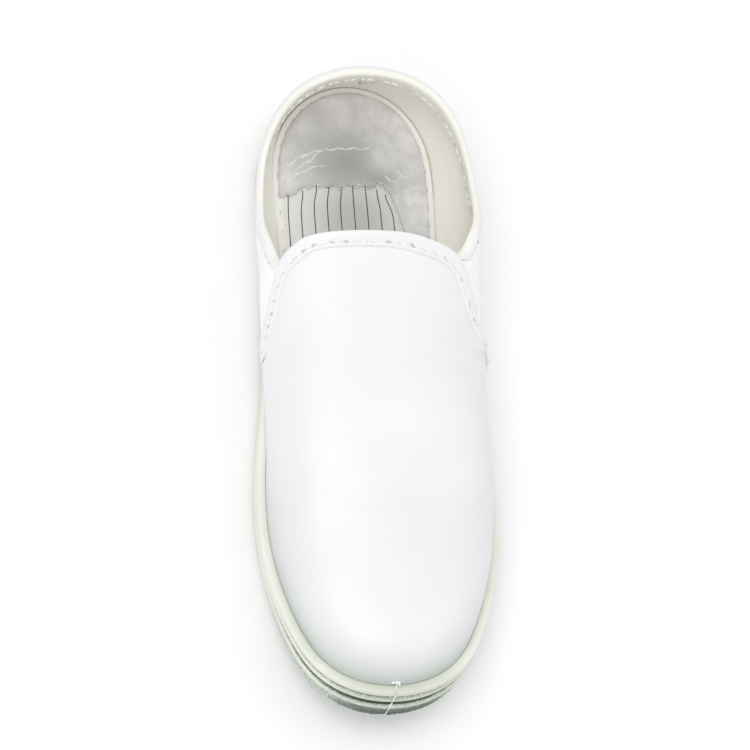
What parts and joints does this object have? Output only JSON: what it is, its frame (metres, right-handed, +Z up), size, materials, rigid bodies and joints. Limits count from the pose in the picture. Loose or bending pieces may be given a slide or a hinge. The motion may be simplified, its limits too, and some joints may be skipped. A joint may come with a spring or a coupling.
{
  "type": "antistatic slip-on work shoe",
  "caption": "Slip-on work shoe for the right foot: closed low upper with bound throat and collar, loose insole with heel pad, moulded cup sole with blocked tread.",
  "frame": {"origin": "under the middle of the shoe, on the floor", "axes": "+Z up, toe towards -Y, inner side of the foot at +X"},
  "size_m": [0.1066, 0.2884, 0.0759],
  "materials": {
    "sole": "moulded, satin",
    "leather": "smooth coated, satin",
    "binding": "smooth coated, satin",
    "insole_cloth": "brushed knit",
    "pad_cloth": "soft nonwoven"
  },
  "bodies": {
    "root": {"outsole": "sole", "upper": "leather", "vamp_binding": "binding", "collar_binding": "binding", "insole": "insole_cloth", "heel_pad": "pad_cloth"}
  },
  "joints": []
}
